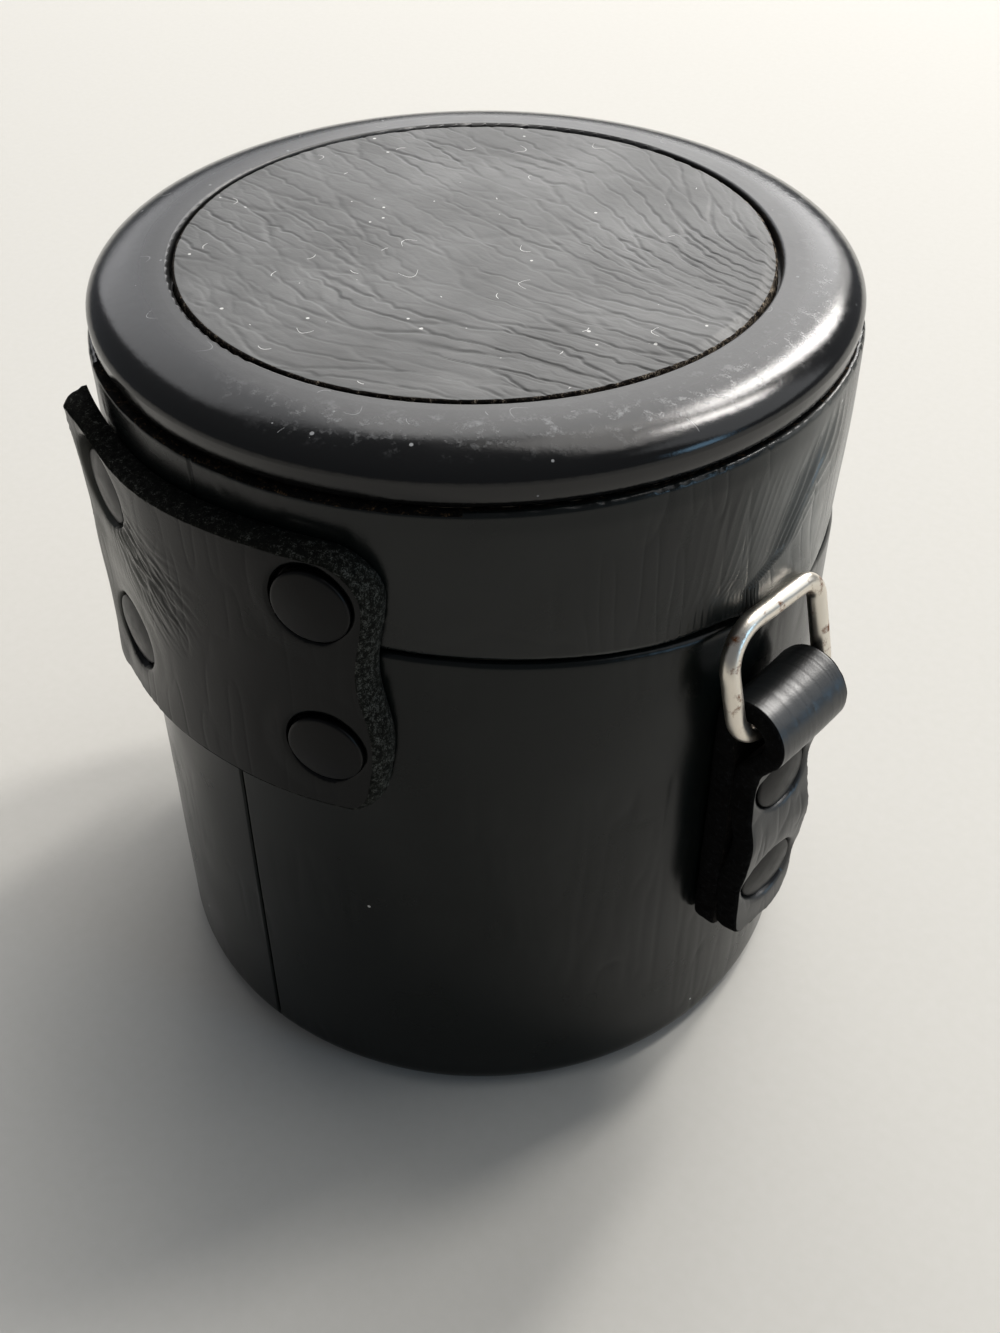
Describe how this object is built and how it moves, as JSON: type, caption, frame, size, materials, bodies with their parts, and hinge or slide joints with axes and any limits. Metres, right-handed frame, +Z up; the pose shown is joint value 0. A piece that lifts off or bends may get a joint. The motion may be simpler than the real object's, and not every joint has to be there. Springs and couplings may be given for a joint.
{
  "type": "lens case",
  "caption": "Round leather-covered lens case with a hinged lid, riveted hinge strap, snap strap and swinging wire rings for a neck strap.",
  "frame": {"origin": "centre of the base leather's underside, on the case's axis, at the floor", "axes": "+Z up along the case's axis, +Y towards the lid's hinge strap, -Y towards the snap strap, X through the wire rings"},
  "size_m": [0.0946, 0.0891, 0.0875],
  "materials": {
    "wrap_leather": "smooth black calf leather, semi-gloss",
    "strap_leather": "thick black bridle leather with raw cut edges",
    "case_board": "grey-brown pressed board",
    "lining": "short-pile cotton lining",
    "moulded_ring": "black moulded plastic, scuffed gloss",
    "black_rivet": "black lacquered steel, satin",
    "plain_steel": "plain steel washers",
    "ring_wire": "worn nickel-plated steel wire",
    "snap_metal": "nickelled brass, dull"
  },
  "bodies": {
    "case": {"base_leather": "wrap_leather", "base_board": "case_board", "base_pad": "lining", "body_board": "case_board", "body_leather": "wrap_leather", "neck": "case_board", "body_lining": "lining", "hinge_strap_lower": "strap_leather", "hinge_rivets_lower": "black_rivet", "hinge_rivet_backs_lower": "plain_steel", "ring_tab_left": "strap_leather", "ring_tab_right": "strap_leather", "ring_tab_rivets_left": "black_rivet", "ring_tab_rivets_right": "black_rivet", "ring_tab_rivet_backs_left": "plain_steel", "ring_tab_rivet_backs_right": "plain_steel", "snap_stud": "snap_metal", "snap_stud_back": "plain_steel"},
    "lid": {"lid_top_ring": "moulded_ring", "lid_top_disc": "wrap_leather", "lid_board": "case_board", "lid_leather_band": "wrap_leather", "lid_lining": "lining", "lid_pad": "lining", "hinge_strap_upper": "strap_leather", "hinge_rivets_upper": "black_rivet", "hinge_rivet_backs_upper": "plain_steel", "closure_strap_root": "strap_leather", "closure_rivets": "black_rivet", "closure_rivet_backs": "plain_steel"},
    "flap": {"closure_flap": "strap_leather", "snap_cap": "black_rivet", "snap_socket": "snap_metal"},
    "ring_left": {"wire_ring_left": "ring_wire"},
    "ring_right": {"wire_ring_right": "ring_wire"}
  },
  "joints": [
    {"name": "lid_hinge", "type": "hinge", "parent": "case", "child": "lid", "pos_m": [0, 0.0416, 0.06649], "axis": [-1, 0, 0], "range_deg": [0, 110]},
    {"name": "flap_bend", "type": "hinge", "parent": "lid", "child": "flap", "pos_m": [0, -0.0414, 0.06], "axis": [-1, 0, 0], "range_deg": [0, 100]},
    {"name": "ring_swing_left", "type": "hinge", "parent": "case", "child": "ring_left", "pos_m": [-0.04252, 0.00447, 0.0528], "axis": [-0.1045, -0.9945, 0], "range_deg": [0, 165]},
    {"name": "ring_swing_right", "type": "hinge", "parent": "case", "child": "ring_right", "pos_m": [0.04252, 0.00447, 0.0528], "axis": [-0.1045, 0.9945, 0], "range_deg": [0, 165]}
  ]
}
